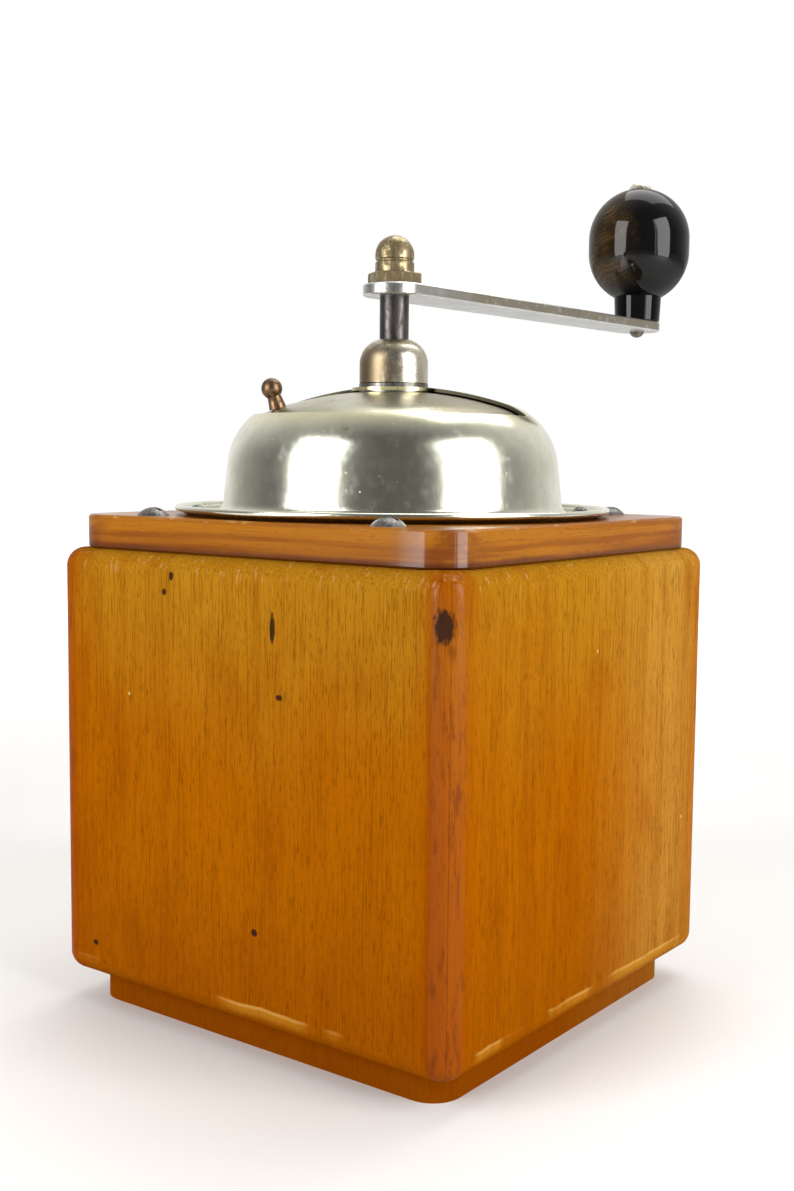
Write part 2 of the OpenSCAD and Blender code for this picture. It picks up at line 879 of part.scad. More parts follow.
// Half of the upright section of the knob's ball: two round ends joined by a straight side
module knob_ball_section() {
    for (end = [-1, 1])
        intersection() {
            translate([0, end * knob_end_z]) circle(knob_r);
            translate([0, -knob_ball_h]) square([knob_r, 2 * knob_ball_h]);
        }
    translate([0, -knob_end_z]) square([knob_r, 2 * knob_end_z]);
}

module crank_knob() {
    color(black_wood) at_knob() rotate_extrude() difference() {
        union() {
            polygon([
                [0, knob_lift],
                [knob_neck_foot_r, knob_lift],
                [knob_neck_r, knob_neck_h],
                [0, knob_ball_z]
            ]);
            intersection() {
                translate([0, knob_ball_z]) knob_ball_section();
                square([knob_r, knob_top]);
            }
        }
        square([knob_pin_r + fit, knob_top + over]);
    }
}

// Drawer

module drawer_front() {
    color(beech) difference() {
        intersection() {
            case_block();
            translate([-drawer_out_x, -case_d / 2, drawer_front_z])
                cube([2 * drawer_out_x, drawer_front_t, drawer_top - drawer_front_z]);
        }
        translate([0, -case_d / 2 - over, drawer_knob_z]) rotate([-90, 0, 0])
            cylinder(r = drawer_screw_r + fit, h = drawer_front_t + 2 * over);
    }
}

module drawer_side_right() {
    color(pale_wood) translate([drawer_in_x, drawer_y, drawer_front_z])
        cube([drawer_side_t, drawer_back_y - drawer_y, drawer_side_h]);
}

module drawer_side_left() {
    color(pale_wood) mirror([1, 0, 0]) drawer_side_right();
}

module drawer_back() {
    color(pale_wood) translate([-drawer_in_x, drawer_back_y - drawer_side_t, drawer_front_z])
        cube([2 * drawer_in_x, drawer_side_t, drawer_side_h]);
}

module drawer_bottom() {
    color(pale_wood) translate([-drawer_in_x, drawer_y, drawer_front_z])
        cube([2 * drawer_in_x, drawer_back_y - drawer_side_t - drawer_y, drawer_bottom_t]);
}

// Turned knob: foot, neck and a ball, along -Y
module drawer_knob() {
    ball_z = drawer_knob_l - drawer_knob_r;
    color(black_wood) translate([0, -case_d / 2, drawer_knob_z]) rotate([90, 0, 0])
        rotate_extrude() difference() {
            union() {
                polygon([
                    [0, 0],
                    [drawer_knob_foot_r, 0],
                    [drawer_knob_neck_r, drawer_knob_foot_h],
                    [drawer_knob_neck_r, ball_z],
                    [0, ball_z]
                ]);
                intersection() {
                    translate([0, ball_z]) circle(drawer_knob_r);
                    square(drawer_knob_l);
                }
            }
            square([drawer_screw_r + fit, drawer_screw_in + fit]);
        }
}

module drawer_knob_screw() {
    color(dark_steel) translate([0, drawer_y, drawer_knob_z]) rotate([-90, 0, 0])
        round_screw(drawer_screw_head_r, drawer_screw_head_h, drawer_screw_r, drawer_screw_l);
}

side_wall_left();
side_wall_right();
back_wall();
front_wall();
top_board();
base_plinth();
board_screws();
base_screws();
hopper_dome();
flange_screws();
collar_washer();
bell_collar();
upper_bush();
lid_washer();
hopper_lid();
lid_knob();
mill_body();
mill_screws();
burr_ring();
ring_screws();
lower_bridge();
bridge_screws();
lower_bearing();
thrust_ball();
adjust_screw();
adjust_wheel();
burr_cone();
burr_pin();
drive_shaft();
crank_arm();
cap_nut();
knob_pin();
crank_knob();
drawer_front();
drawer_side_left();
drawer_side_right();
drawer_back();
drawer_bottom();
drawer_knob();
drawer_knob_screw();
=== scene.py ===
"""Looks of a box-shaped hand coffee grinder, built round its CAD frame."""

import math

import bmesh
import bpy
from mathutils import Matrix, Vector

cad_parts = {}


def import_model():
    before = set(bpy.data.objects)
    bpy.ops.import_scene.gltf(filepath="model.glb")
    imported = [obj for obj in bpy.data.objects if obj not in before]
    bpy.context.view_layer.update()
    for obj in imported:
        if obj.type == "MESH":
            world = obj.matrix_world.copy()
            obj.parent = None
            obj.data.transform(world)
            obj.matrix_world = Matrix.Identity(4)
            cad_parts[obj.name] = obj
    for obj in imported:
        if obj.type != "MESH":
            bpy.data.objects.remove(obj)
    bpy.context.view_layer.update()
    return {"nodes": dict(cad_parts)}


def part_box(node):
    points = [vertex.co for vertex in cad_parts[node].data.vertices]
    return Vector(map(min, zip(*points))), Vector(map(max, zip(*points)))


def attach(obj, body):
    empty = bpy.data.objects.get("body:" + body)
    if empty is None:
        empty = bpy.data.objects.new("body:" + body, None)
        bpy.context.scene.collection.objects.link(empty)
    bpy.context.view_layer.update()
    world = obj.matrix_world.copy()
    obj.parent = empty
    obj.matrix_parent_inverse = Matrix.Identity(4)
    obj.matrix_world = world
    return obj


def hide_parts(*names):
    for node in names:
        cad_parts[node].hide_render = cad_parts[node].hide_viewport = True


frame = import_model()

MM = 0.001

# Sizes are in millimetres and angles in degrees. They follow the CAD source, apart from chamfers, the
# section of the nut's groove and the lid's bore.

# Case and top board
CASE_HALF_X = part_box("side_wall_right")[1].x / MM
CASE_HALF_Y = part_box("back_wall")[1].y / MM
CASE_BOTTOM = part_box("back_wall")[0].z / MM
CASE_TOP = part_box("back_wall")[1].z / MM
BOARD_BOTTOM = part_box("top_board")[0].z / MM
BOARD_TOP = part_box("top_board")[1].z / MM
BOARD_HALF_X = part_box("top_board")[1].x / MM
BOARD_HALF_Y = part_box("top_board")[1].y / MM
BOARD_CORNER = 10.0
BOARD_CHAMFER = 0.5
BOARD_HOLE_R = 36.3

# Hopper dome; heights are above the board, and evenly spaced rings of the mesh start at CROWN_FROM_R
SHEET = 0.9
SHOULDER_EDGE = 45.4
SHOULDER_R = 18.8
SHOULDER_Z = 12.4
CROWN_TILT = 17.4
CROWN_FROM_R = 14
WALL_TAPER = 6.2
FILLET = 3.0
FLANGE_R = 59.5
BEAD_R = 0.85
BEAD_Z = 1.85
RIM_RISE = 2.7
BOSS_R = 10.0
BUSH_BORE_R = 6.05
OPENING_HUB = 11.5
OPENING_R = 38.4
OPENING_TURN = 14

# Hopper lid; its bore is 0.1 wider than in the CAD source, so that the facets stay clear of the bush
LID_SET_IN = 1.4
LID_SHEET = 0.8
LID_BORE_R = 6.15
LID_HUB_R = 9
LID_R = 39.9
LID_OVERLAP = 4

# Bell collar; heights are above its foot, and a ring at BELL_SIDE_Z keeps the shading of its side straight
BELL_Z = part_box("bell_collar")[0].z / MM
BELL_R = 9.4
BELL_ROUND = 7.0
BELL_H = 12.4
BELL_CHAMFER = 0.25
BELL_SIDE_Z = 3
BELL_SEAT_Z = 6.05
BELL_SEAT_RISE = 0.05
SHAFT_BORE_R = 4.05

# Crank arm and cap nut; the nut's heights are above the arm
ARM_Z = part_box("crank_arm")[0].z / MM
ARM_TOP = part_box("crank_arm")[1].z / MM
ARM_HUB = 8.6
ARM_END = 7.6
ARM_CHAMFER = 0.35
CRANK_L = 130.0
CRANK_TURN = 267.4
NUT_FLATS = 12.8
NUT_HEX_H = 3.2
NUT_CHAMFER = 0.3
NUT_R = 5.3
NUT_H = 13.3
NUT_SINK = 0.5
NUT_GROOVE_Z = 6.4
NUT_GROOVE_HALF = 0.5
NUT_GROOVE_FLOOR = 0.2
NUT_GROOVE_DEPTH = 0.3

# Crank knob; heights are above the arm
KNOB_R = 16.9
KNOB_BALL_H = 38.2
KNOB_NECK_R = 7.9
KNOB_NECK_H = 8.5
KNOB_NECK_TAPER = 0.4
KNOB_CHAMFER = 0.3
KNOB_LIFT = 0.2
KNOB_TOP_R = 4.0
KNOB_BORE_R = 2.55

# Worked out from the sizes above
SHOULDER_C = SHOULDER_EDGE - SHOULDER_R
CROWN_R = SHOULDER_R + SHOULDER_C / math.sin(math.radians(CROWN_TILT))
CROWN_Z = SHOULDER_Z - SHOULDER_C / math.tan(math.radians(CROWN_TILT))
BOSS_Z = CROWN_Z + math.sqrt(CROWN_R**2 - BOSS_R**2)
KNOB_END_Z = KNOB_BALL_H / 2 - KNOB_R
KNOB_BALL_Z = KNOB_NECK_H + math.sqrt(KNOB_R**2 - KNOB_NECK_R**2) + KNOB_END_Z
KNOB_BALL_FOOT = ARM_TOP + KNOB_NECK_H
CRANK_ANGLE = math.radians(CRANK_TURN)
KNOB_PLACE = (CRANK_L * math.cos(CRANK_ANGLE), CRANK_L * math.sin(CRANK_ANGLE))


# Shapes

def spread(start, end, steps):
    return [start + (end - start) * i / steps for i in range(steps + 1)]


def arc(centre_r, centre_z, radius, start, end, steps):
    """Points on an arc, angles in degrees from the outward direction."""
    turns = [math.radians(turn) for turn in spread(start, end, steps)]
    return [(centre_r + radius * math.cos(t), centre_z + radius * math.sin(t)) for t in turns]


def band(bm, low, high):
    """Faces between two rings of equally many points."""
    count = len(low)
    for j in range(count):
        k = (j + 1) % count
        bm.faces.new((low[j], low[k], high[k], high[j]))


def turned_rings(bm, profile, base_z, segments, centre=(0.0, 0.0)):
    """A ring of points round an upright axis for each (radius, height) of a profile."""
    turns = [2 * math.pi * j / segments for j in range(segments)]
    rings = []
    for r, z in profile:
        rings.append([
            bm.verts.new((
                (centre[0] + r * math.cos(t)) * MM,
                (centre[1] + r * math.sin(t)) * MM,
                (base_z + z) * MM,
            ))
            for t in turns
        ])
    return rings


def lathe(bm, profile, base_z, centre=(0.0, 0.0), segments=160):
    """Turns a profile of (radius, height) points round an upright axis."""
    rings = turned_rings(bm, profile, base_z, segments, centre)
    for low, high in zip(rings, rings[1:]):
        band(bm, low, high)


def under_side(profile, thickness):
    """A profile moved to the under side of a sheet of this thickness."""
    moved = []
    last = len(profile) - 1
    for i, (r, z) in enumerate(profile):
        before = Vector(profile[max(i - 1, 0)])
        after = Vector(profile[min(i + 1, last)])
        along = (after - before).normalized()
        moved.append((r + along.y * thickness, z - along.x * thickness))
    return moved


def spun_sheet(bm, profile, thickness, base_z, keep):
    """A sheet below a turned profile, in cells of one degree; keep says which cells are there."""
    segments = 360
    rows = len(profile)
    top = turned_rings(bm, profile, base_z, segments)
    bottom = turned_rings(bm, under_side(profile, thickness), base_z, segments)
    for i in range(rows - 1):
        for j in range(segments):
            if not keep(i, j):
                continue
            k = (j + 1) % segments
            bm.faces.new((top[i][j], top[i + 1][j], top[i + 1][k], top[i][k]))
            bm.faces.new((bottom[i][j], bottom[i][k], bottom[i + 1][k], bottom[i + 1][j]))
            edges = [
                (i - 1, j, (i, k), (i, j)),
                (i + 1, j, (i + 1, j), (i + 1, k)),
                (i, (j - 1) % segments, (i, j), (i + 1, j)),
                (i, k, (i + 1, k), (i, k)),
            ]
            for next_i, next_j, a, b in edges:
                if 0 <= next_i < rows - 1 and keep(next_i, next_j):
                    continue
                bm.faces.new((
                    top[b[0]][b[1]], top[a[0]][a[1]], bottom[a[0]][a[1]], bottom[b[0]][b[1]],
                ))
    loose = [v for v in bm.verts if not v.link_faces]
    bmesh.ops.delete(bm, geom=loose, context="VERTS")


def ring_of(bm, outline, z):
    return [bm.verts.new((x * MM, y * MM, z * MM)) for x, y in outline]


def inset(outline, amount):
    """The outline, counter-clockwise, moved inwards."""
    moved = []
    count = len(outline)
    for i, point in enumerate(outline):
        before = Vector(outline[i - 1])
        after = Vector(outline[(i + 1) % count])
        along = (after - before).normalized()
        moved.append((point[0] - along.y * amount, point[1] + along.x * amount))
    return moved


def prism(bm, outline, low, high, chamfer, hole_r=0.0):
    """An upright prism with chamfered rims, with a round hole through it if asked."""
    narrow = inset(outline, chamfer)
    levels = [(low, narrow), (low + chamfer, outline), (high - chamfer, outline), (high, narrow)]
    rings = [ring_of(bm, points, z) for z, points in levels]
    if hole_r:
        circle = [tuple(Vector(point).normalized() * hole_r) for point in outline]
        rings += [ring_of(bm, circle, high), ring_of(bm, circle, low), rings[0]]
    else:
        bm.faces.new(list(reversed(rings[0])))
        bm.faces.new(rings[-1])
    for a, b in zip(rings, rings[1:]):
        band(bm, a, b)


def round_rect(half_x, half_y, radius, steps=12):
    """Counter-clockwise outline of a rectangle with round corners, straight sides divided up."""
    corners = []
    for quarter, (side_x, side_y) in enumerate([(1, 1), (-1, 1), (-1, -1), (1, -1)]):
        middle = (side_x * (half_x - radius), side_y * (half_y - radius))
        corners.append(arc(*middle, radius, 90 * quarter, 90 * quarter + 90, steps))
    points = []
    for corner, after in zip(corners, corners[1:] + corners[:1]):
        start = Vector(corner[-1])
        end = Vector(after[0])
        points += corner
        points += [tuple(start.lerp(end, i / steps)) for i in range(1, steps)]
    return points


def smooth(mesh, sharp_over=32):
    """Smooth shading, with sharp edges where faces meet at more than this angle."""
    mesh.polygons.foreach_set("use_smooth", [True] * len(mesh.polygons))
    mesh.set_sharp_from_angle(angle=math.radians(sharp_over))


def piece(name, bm, node, body, material):
    """Makes an object of a finished shape that stands for one CAD node."""
    bmesh.ops.recalc_face_normals(bm, faces=bm.faces)
    mesh = bpy.data.meshes.new(name)
    bm.to_mesh(mesh)
    bm.free()
    smooth(mesh)
    made = bpy.data.objects.new(name, mesh)
    bpy.context.scene.collection.objects.link(made)
    mesh.materials.append(material)
    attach(made, body)
    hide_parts(node)


# Materials; colours are linear red, green and blue

class Look:
    """A material's nodes, with short calls for the ones used here. Lengths are in millimetres."""

    def __init__(self, name):
        self.material = bpy.data.materials.new(name)
        self.material.use_nodes = True
        self.tree = self.material.node_tree
        self.tree.nodes.clear()
        out = self.tree.nodes.new("ShaderNodeOutputMaterial")
        self.shader = self.tree.nodes.new("ShaderNodeBsdfPrincipled")
        self.tree.links.new(self.shader.outputs["BSDF"], out.inputs["Surface"])
        coords = self.tree.nodes.new("ShaderNodeTexCoord")
        self.place = self.math_vector("SCALE", coords.outputs["Object"], scale=1 / MM)
        axes = self.tree.nodes.new("ShaderNodeSeparateXYZ")
        self.put(axes.inputs[0], self.place)
        self.x, self.y, self.z = axes.outputs

    def put(self, socket, value):
        """Gives a socket a link or a plain value."""
        if isinstance(value, bpy.types.NodeSocket):
            self.tree.links.new(value, socket)
        else:
            socket.default_value = value

    def math_vector(self, operation, a, b=None, scale=None):
        node = self.tree.nodes.new("ShaderNodeVectorMath")
        node.operation = operation
        self.put(node.inputs[0], a)
        if b is not None:
            self.put(node.inputs[1], b)
        if scale is not None:
            node.inputs["Scale"].default_value = scale
        gives_number = operation in ("LENGTH", "DOT_PRODUCT")
        return node.outputs["Value"] if gives_number else node.outputs["Vector"]

    def calc(self, operation, a, b=0.0, clamp=False):
        node = self.tree.nodes.new("ShaderNodeMath")
        node.operation = operation
        node.use_clamp = clamp
        self.put(node.inputs[0], a)
        self.put(node.inputs[1], b)
        return node.outputs[0]

    def grow(self, start, value, amount):
        """The start and this amount of the value together."""
        return self.calc("ADD", start, self.calc("MULTIPLY", value, amount))

    def scaled_place(self, stretch, shift):
        """The place in units of the given lengths, shifted."""
        spot = self.math_vector("MULTIPLY", self.place, tuple(1 / s for s in stretch))
        return self.math_vector("ADD", spot, (shift, shift, shift))

    def noise(self, stretch, detail=2.0, rough=0.5, shift=0.0):
        """Noise from 0 to 1 whose features have about the given length along x, y and z."""
        node = self.tree.nodes.new("ShaderNodeTexNoise")
        self.put(node.inputs["Vector"], self.scaled_place(stretch, shift))
        node.inputs["Scale"].default_value = 1.0
        node.inputs["Detail"].default_value = detail
        node.inputs["Roughness"].default_value = rough
        return node.outputs["Fac"]

    def lines(self, direction, width):
        """Noise from 0 to 1 in thin wavy layers that are stacked in a direction."""
        height = self.math_vector("DOT_PRODUCT", self.place, Vector(direction).normalized())
        node = self.tree.nodes.new("ShaderNodeTexNoise")
        node.noise_dimensions = "1D"
        self.put(node.inputs["W"], self.grow(height, self.noise((12, 12, 12), shift=7), 6.0))
        node.inputs["Scale"].default_value = 1 / width
        node.inputs["Detail"].default_value = 3.0
        return node.outputs["Fac"]

    def cells(self, stretch, shift=0.0):
        """(distance to the middle of the cell, a random value of the cell)."""
        node = self.tree.nodes.new("ShaderNodeTexVoronoi")
        self.put(node.inputs["Vector"], self.scaled_place(stretch, shift))
        node.inputs["Scale"].default_value = 1.0
        shade = self.tree.nodes.new("ShaderNodeSeparateColor")
        self.put(shade.inputs[0], node.outputs["Color"])
        return node.outputs["Distance"], shade.outputs[0]

    def specks(self, stretch, radius, edge, pick_from, pick_to, shift=0.0):
        """1 in small round places, in those cells whose random value is high enough."""
        reach, pick = self.cells(stretch, shift)
        return self.both(self.step(reach, radius, edge), self.step(pick, pick_from, pick_to))

    def step(self, value, low, high):
        """0 below low, 1 above high, smooth between; falling if low is the greater."""
        node = self.tree.nodes.new("ShaderNodeMapRange")
        node.interpolation_type = "SMOOTHSTEP"
        falling = low > high
        self.put(node.inputs["Value"], value)
        node.inputs["From Min"].default_value = min(low, high)
        node.inputs["From Max"].default_value = max(low, high)
        node.inputs["To Min"].default_value = 1.0 if falling else 0.0
        node.inputs["To Max"].default_value = 0.0 if falling else 1.0
        return node.outputs["Result"]

    def both(self, *masks):
        """The product of all masks."""
        out = masks[0]
        for mask in masks[1:]:
            out = self.calc("MULTIPLY", out, mask)
        return out

    def mix(self, amount, a, b):
        """Colour a, or b where the amount is 1."""
        node = self.tree.nodes.new("ShaderNodeMix")
        node.data_type = "RGBA"
        self.put(node.inputs["Factor"], amount)
        self.put(node.inputs["A"], a if isinstance(a, bpy.types.NodeSocket) else (*a, 1.0))
        self.put(node.inputs["B"], b if isinstance(b, bpy.types.NodeSocket) else (*b, 1.0))
        return next(o for o in node.outputs if o.type == "RGBA")

    def tint(self, colour, mask, share, other):
        """The colour, with this share of another one where the mask is 1."""
        return self.mix(self.calc("MULTIPLY", mask, share), colour, other)

    def inside(self, half_x, half_y):
        """How far the place lies inside the upright faces at plus and minus half_x and half_y."""
        in_x = self.calc("SUBTRACT", half_x, self.calc("ABSOLUTE", self.x))
        in_y = self.calc("SUBTRACT", half_y, self.calc("ABSOLUTE", self.y))
        return in_x, in_y

    def spot(self, centre, size, edge=0.35):
        """1 inside an ellipsoid with a ragged edge."""
        away = self.math_vector("SUBTRACT", self.place, centre)
        away = self.math_vector("DIVIDE", away, size)
        reach = self.grow(self.math_vector("LENGTH", away), self.noise((0.9, 0.9, 1.4)), 0.8)
        return self.step(reach, 1.4, 1.4 - edge)

    def bump(self, height, depth):
        """Relief of the given depth in millimetres, laid over any made before."""
        node = self.tree.nodes.new("ShaderNodeBump")
        node.inputs["Distance"].default_value = depth * MM
        node.inputs["Strength"].default_value = 1.0
        self.put(node.inputs["Height"], height)
        normal = self.shader.inputs["Normal"]
        if normal.is_linked:
            self.tree.links.new(normal.links[0].from_socket, node.inputs["Normal"])
        self.tree.links.new(node.outputs["Normal"], normal)

    def finish(self, colour, rough, metal=0.0, specular=0.5, coat=0.0, coat_rough=0.2):
        self.put(self.shader.inputs["Base Color"], colour)
        self.put(self.shader.inputs["Specular IOR Level"], specular)
        self.put(self.shader.inputs["Roughness"], rough)
        self.put(self.shader.inputs["Metallic"], metal)
        self.put(self.shader.inputs["Coat Weight"], coat)
        self.put(self.shader.inputs["Coat Roughness"], coat_rough)
        return self.material


def amber_ground(k):
    """Amber varnish, clouded in places, with painted sheen: yellower towards the top and paler on one
    side.
    """
    # Painted sheen: from low to high the colour turns lighter and yellower upwards.
    low = (0.248, 0.063, 0.0002)
    middle = (0.290, 0.081, 0.0003)
    high = (0.305, 0.141, 0.008)
    middle_z = CASE_BOTTOM + 80
    drift = k.noise((40, 40, 55), detail=3)
    level = k.grow(k.z, drift, 50)
    colour = k.mix(k.step(level, CASE_BOTTOM + 25, middle_z), low, middle)
    colour = k.mix(k.step(level, middle_z, CASE_TOP + 30), colour, high)
    # Painted sheen: the varnish is paler towards minus y.
    painted_side_sheen = k.step(k.grow(k.y, drift, 20), 20, -38)
    colour = k.tint(colour, painted_side_sheen, 0.55, (0.41, 0.218, 0.035))
    cloud = k.step(k.noise((16, 16, 34), detail=3, shift=8), 0.50, 0.72)
    return k.tint(colour, cloud, 0.4, (0.215, 0.047, 0.0003))


def upright_grain(k, colour, fibre):
    """Broad bands, fine fibres and short dark flecks, all upright."""
    band_of_growth = k.step(k.noise((4.5, 4.5, 170), detail=3, shift=3), 0.46, 0.76)
    colour = k.tint(colour, band_of_growth, 0.32, (0.195, 0.042, 0.0003))
    colour = k.tint(colour, k.step(fibre, 0.46, 0.70), 0.58, (0.13, 0.028, 0.0004))
    fleck = k.step(k.noise((0.21, 0.21, 3.0), detail=1, shift=11), 0.58, 0.70)
    return k.tint(colour, fleck, 0.6, (0.075, 0.017, 0.0005))


def stained_corners(k, colour, corner, mitre):
    """Redder, smeared varnish at the upright corners, with the seam of the mitre in it."""
    colour = k.tint(colour, k.step(corner, 13, 3), 0.5, (0.25, 0.046, 0.0003))
    one_side = k.both(k.step(corner, 7.5, 6), k.step(mitre, 0.2, 1.6))
    colour = k.tint(colour, one_side, 0.3, (0.17, 0.026, 0.0003))
    smear = k.step(k.noise((1.8, 1.8, 9), detail=4, rough=0.6, shift=5), 0.52, 0.66)
    colour = k.tint(colour, k.both(k.step(corner, 8, 4), smear), 0.5, (0.085, 0.013, 0.001))
    seam = k.both(k.step(k.calc("ABSOLUTE", mitre), 0.30, 0.12), k.step(corner, 4, 3))
    return k.tint(colour, seam, 0.45, (0.08, 0.012, 0.0005))


def edge_wear_and_painted_light(k, colour):
    """Varnish rubbed off along the lower edge and scratched along the upper one, both with painted
    highlights; painted shade on the plinth.
    """
    # Along the lower rounding the pale band and line are partly rubbed varnish and partly painted
    # highlight.
    edge_z = k.grow(CASE_BOTTOM + 4.6, k.noise((12, 12, 400), detail=3, shift=9), 2.0)
    above = k.calc("SUBTRACT", k.z, edge_z)
    worn = k.step(k.noise((24, 24, 400), detail=3, shift=12), 0.48, 0.60)
    rub_and_highlight = k.both(k.step(above, -3.5, -1.0), k.step(above, 0.5, 0.0), worn)
    colour = k.tint(colour, rub_and_highlight, 0.5, (0.40, 0.18, 0.015))
    line = k.both(k.step(above, -0.7, -0.2), k.step(above, 0.6, 0.1), worn)
    colour = k.tint(colour, line, 0.45, (0.50, 0.28, 0.07))
    # Along the upper rounding the pale streaks are partly scratches and partly painted highlight.
    scratch_and_highlight = k.step(k.noise((1.2, 1.2, 14), detail=3, shift=14), 0.58, 0.70)
    rim = k.both(k.step(k.z, CASE_TOP - 7, CASE_TOP - 4), scratch_and_highlight)
    colour = k.tint(colour, rim, 0.3, (0.50, 0.28, 0.12))
    # Painted shade: the plinth below the case is darkened.
    plinth_shade = k.step(k.z, CASE_BOTTOM + 0.3, CASE_BOTTOM - 0.3)
    return k.tint(colour, plinth_shade, 0.6, (0.15, 0.030, 0.0003))


def dark_marks(k):
    """1 in small dents all over the case and in its larger marks, given by centre and size."""
    marks = [
        ((-12.5, CASE_HALF_Y, 108.5), (0.9, 2, 4.0)),
        ((21.6, CASE_HALF_Y, 119.0), (1.0, 2, 1.2)),
        ((24.1, CASE_HALF_Y, 114.8), (0.9, 2, 1.0)),
        ((-14.7, CASE_HALF_Y, 91.9), (1.2, 2, 0.9)),
        ((-6.7, CASE_HALF_Y, 32.7), (1.1, 2, 1.0)),
        ((51.2, CASE_HALF_Y, 17.9), (1.1, 2, 0.9)),
        ((-61.7, CASE_HALF_Y - 1, 112.5), (2.6, 3.5, 4.6)),
    ]
    dark = k.specks((17, 17, 24), 0.045, 0.02, 0.72, 0.74)
    for centre, size in marks:
        dark = k.calc("MAXIMUM", dark, k.spot(centre, size))
    return dark


def case_wood():
    """Varnished beech, grain upright, flecked, stained at the corners and worn at the edges, with painted
    sheen, painted edge highlights and painted shade on the plinth.
    """
    k = Look("case_wood")
    in_x, in_y = k.inside(CASE_HALF_X, CASE_HALF_Y)
    corner = k.calc("MAXIMUM", in_x, in_y)
    mitre = k.calc("SUBTRACT", in_x, in_y)
    fibre = k.noise((0.36, 0.36, 20), detail=4, rough=0.65)
    dark = dark_marks(k)
    colour = amber_ground(k)
    colour = upright_grain(k, colour, fibre)
    colour = stained_corners(k, colour, corner, mitre)
    colour = edge_wear_and_painted_light(k, colour)
    colour = k.tint(colour, dark, 0.92, (0.016, 0.008, 0.005))
    scuff = k.specks((13, 13, 18), 0.035, 0.015, 0.8, 0.82, shift=4.0)
    colour = k.tint(colour, scuff, 0.8, (0.55, 0.36, 0.16))
    k.bump(fibre, 0.02)
    k.bump(k.noise((22, 22, 60), shift=2), 0.30)
    k.bump(k.calc("MULTIPLY", dark, -1.0), 0.25)
    rough = k.grow(0.34, k.noise((7, 7, 30), detail=3, shift=6), 0.16)
    polish = k.grow(0.007, k.step(corner, 6.5, 4.5), 0.14)
    return k.finish(colour, rough, specular=0.0, coat=polish, coat_rough=0.12)


def board_wood():
    """Redder, glossier varnish with the grain lying flat, uneven along the lower edge."""
    k = Look("board_wood")
    layer = k.step(k.noise((110, 80, 2.6), detail=3), 0.34, 0.68)
    colour = k.mix(layer, (0.165, 0.042, 0.001), (0.29, 0.102, 0.003))
    line = k.noise((26, 20, 0.4), detail=3, shift=4)
    colour = k.tint(colour, k.step(line, 0.52, 0.7), 0.4, (0.14, 0.034, 0.001))
    fleck = k.step(k.noise((3.2, 3.2, 0.3), detail=1, shift=2), 0.62, 0.72)
    colour = k.tint(colour, fleck, 0.4, (0.08, 0.018, 0.001))
    corner = k.step(k.calc("MAXIMUM", *k.inside(CASE_HALF_X, CASE_HALF_Y)), 22, 6)
    red = k.both(corner, k.step(k.noise((7, 7, 4), detail=3, shift=6), 0.34, 0.6))
    colour = k.tint(colour, red, 0.7, (0.10, 0.017, 0.001))
    low = k.step(k.calc("ADD", k.z, k.noise((9, 9, 400), detail=3)), CASE_TOP + 2.8, CASE_TOP + 1.0)
    colour = k.tint(colour, low, 0.8, (0.055, 0.009, 0.001))
    worn = k.step(k.noise((5, 5, 2), detail=3, shift=8), 0.58, 0.64)
    rim = k.step(k.calc("MINIMUM", *k.inside(BOARD_HALF_X, BOARD_HALF_Y)), 1.4, 0.7)
    chip = k.both(k.step(k.z, BOARD_TOP - 1.0, BOARD_TOP - 0.5), rim, worn)
    colour = k.tint(colour, chip, 0.5, (0.40, 0.22, 0.07))
    uneven = k.calc("MAXIMUM", low, corner)
    k.bump(line, 0.03)
    k.bump(k.noise((18, 18, 6), shift=1), 0.18)
    k.bump(k.both(k.noise((1.6, 1.6, 1.6), shift=3), uneven), 0.10)
    rough = k.grow(0.24, k.noise((9, 9, 4), detail=3, shift=2), 0.16)
    gloss = k.grow(0.14, uneven, 0.4)
    return k.finish(colour, rough, specular=0.08, coat=gloss, coat_rough=0.10)


def bare_wood():
    """Pale unvarnished wood of the drawer box, grain front to back."""
    k = Look("drawer_wood")
    broad = k.step(k.noise((14, 90, 14), detail=3), 0.35, 0.65)
    colour = k.mix(broad, (0.52, 0.34, 0.17), (0.64, 0.46, 0.26))
    fibre = k.noise((0.9, 45, 0.9), detail=4, rough=0.6)
    colour = k.tint(colour, k.step(fibre, 0.5, 0.72), 0.5, (0.34, 0.19, 0.08))
    dust = k.step(k.noise((11, 11, 11), detail=4, shift=3), 0.52, 0.68)
    colour = k.tint(colour, dust, 0.35, (0.16, 0.09, 0.05))
    k.bump(fibre, 0.06)
    return k.finish(colour, k.grow(0.55, fibre, 0.2))


def black_wood():
    """Black lacquer; brown wood with fine rings shows through on one side of the crank knob."""
    k = Look("black_wood")
    ring = k.step(k.lines((0.42, 0.30, 0.85), 0.42), 0.40, 0.72)
    side = k.math_vector("SUBTRACT", k.place, (*KNOB_PLACE, 0))
    side = k.math_vector("DOT_PRODUCT", side, (0.85, 0.52, 0))
    side = k.grow(side, k.noise((9, 9, 12), shift=5), 14)
    ball = k.step(k.z, KNOB_BALL_FOOT, KNOB_BALL_FOOT + 6)
    patch = k.both(k.step(side, 7, 17), ball)
    colour = k.mix(patch, (0.003, 0.003, 0.003), (0.016, 0.010, 0.004))
    shown = k.both(ring, patch, k.step(k.noise((5, 5, 5), detail=3, shift=9), 0.36, 0.60))
    colour = k.mix(shown, colour, (0.085, 0.045, 0.013))
    k.bump(k.noise((0.8, 0.8, 7), detail=4, rough=0.6), 0.012)
    k.bump(k.noise((8, 8, 8), shift=2), 0.03)
    rough = k.grow(0.12, k.noise((5, 5, 9), detail=3, shift=1), 0.12)
    return k.finish(colour, rough, specular=0.0, coat=0.5, coat_rough=0.07)


